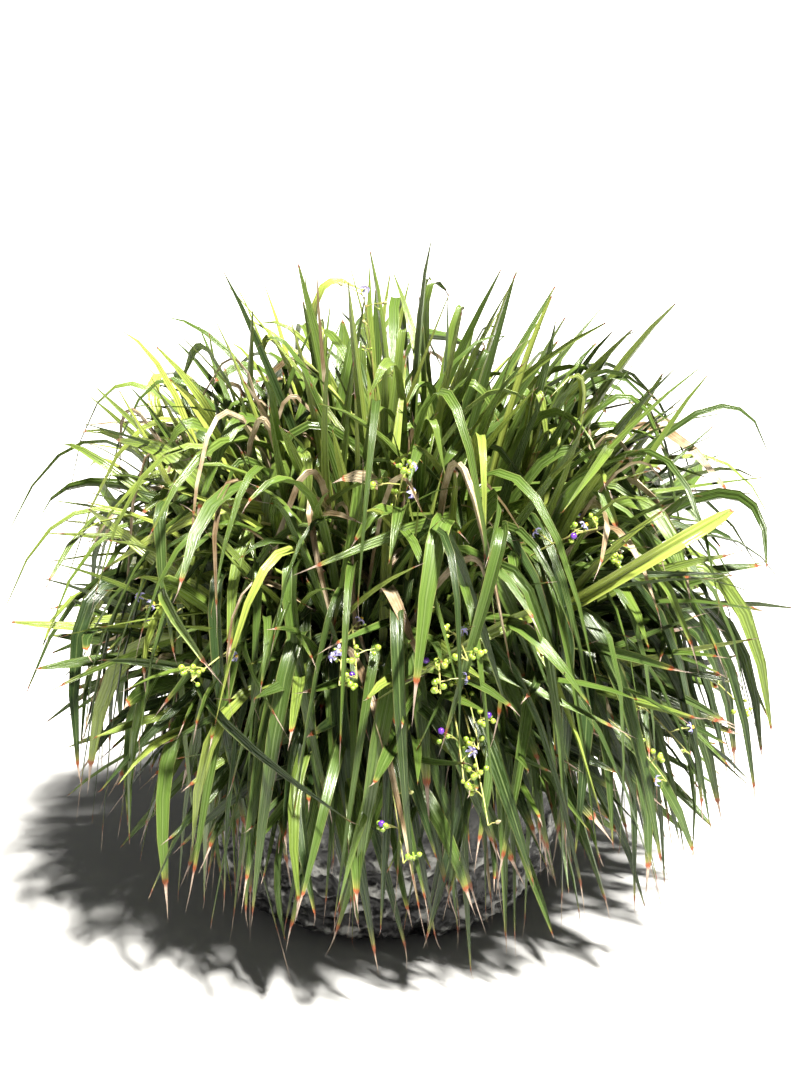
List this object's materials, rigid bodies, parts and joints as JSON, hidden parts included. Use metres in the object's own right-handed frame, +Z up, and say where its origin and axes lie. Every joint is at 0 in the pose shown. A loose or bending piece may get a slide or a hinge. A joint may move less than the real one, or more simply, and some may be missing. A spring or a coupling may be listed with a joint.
{
  "type": "potted flax lily",
  "caption": "Round stone bowl filled with soil, from which a dense clump of arching strap leaves grows and hangs over the rim, with thin flower stalks and berries.",
  "frame": {"origin": "on the ground, at the middle of the bowl's flat foot", "axes": "+Z up; -Y is the front, which the picture shows; +X is to the right seen from the front"},
  "size_m": [1.1717, 1.0784, 1.0137],
  "materials": {
    "stone": "rough, pitted and mottled grey cast stone, smoother and darker in places",
    "soil": "dark potting mix with bark and dead leaves",
    "leaf": "satin green strap leaves with a pale midrib and dry tan tips",
    "stalk": "thin green stalks with violet and white flowers, green and purple berries"
  },
  "bodies": {
    "root": {"bowl": "stone", "soil": "soil", "shoot_01": "leaf", "shoot_02": "leaf", "shoot_03": "leaf", "shoot_04": "leaf", "shoot_05": "leaf", "shoot_06": "leaf", "shoot_07": "leaf", "shoot_08": "leaf", "shoot_09": "leaf", "shoot_10": "leaf", "shoot_11": "leaf", "shoot_12": "leaf", "shoot_13": "leaf", "shoot_14": "leaf", "shoot_15": "leaf", "shoot_16": "leaf", "shoot_17": "leaf", "shoot_18": "leaf", "shoot_19": "leaf", "shoot_20": "leaf", "shoot_21": "leaf", "shoot_22": "leaf", "shoot_23": "leaf", "shoot_24": "leaf", "shoot_25": "leaf", "shoot_26": "leaf", "shoot_27": "leaf", "shoot_28": "leaf", "shoot_29": "leaf", "shoot_30": "leaf", "shoot_31": "leaf", "shoot_32": "leaf", "shoot_33": "leaf", "shoot_34": "leaf", "shoot_35": "leaf", "shoot_36": "leaf", "shoot_37": "leaf", "shoot_38": "leaf", "flower_stalk_1": "stalk", "flower_stalk_2": "stalk", "flower_stalk_3": "stalk", "flower_stalk_4": "stalk", "flower_stalk_5": "stalk", "flower_stalk_6": "stalk", "flower_stalk_7": "stalk", "flower_stalk_8": "stalk"}
  },
  "joints": []
}
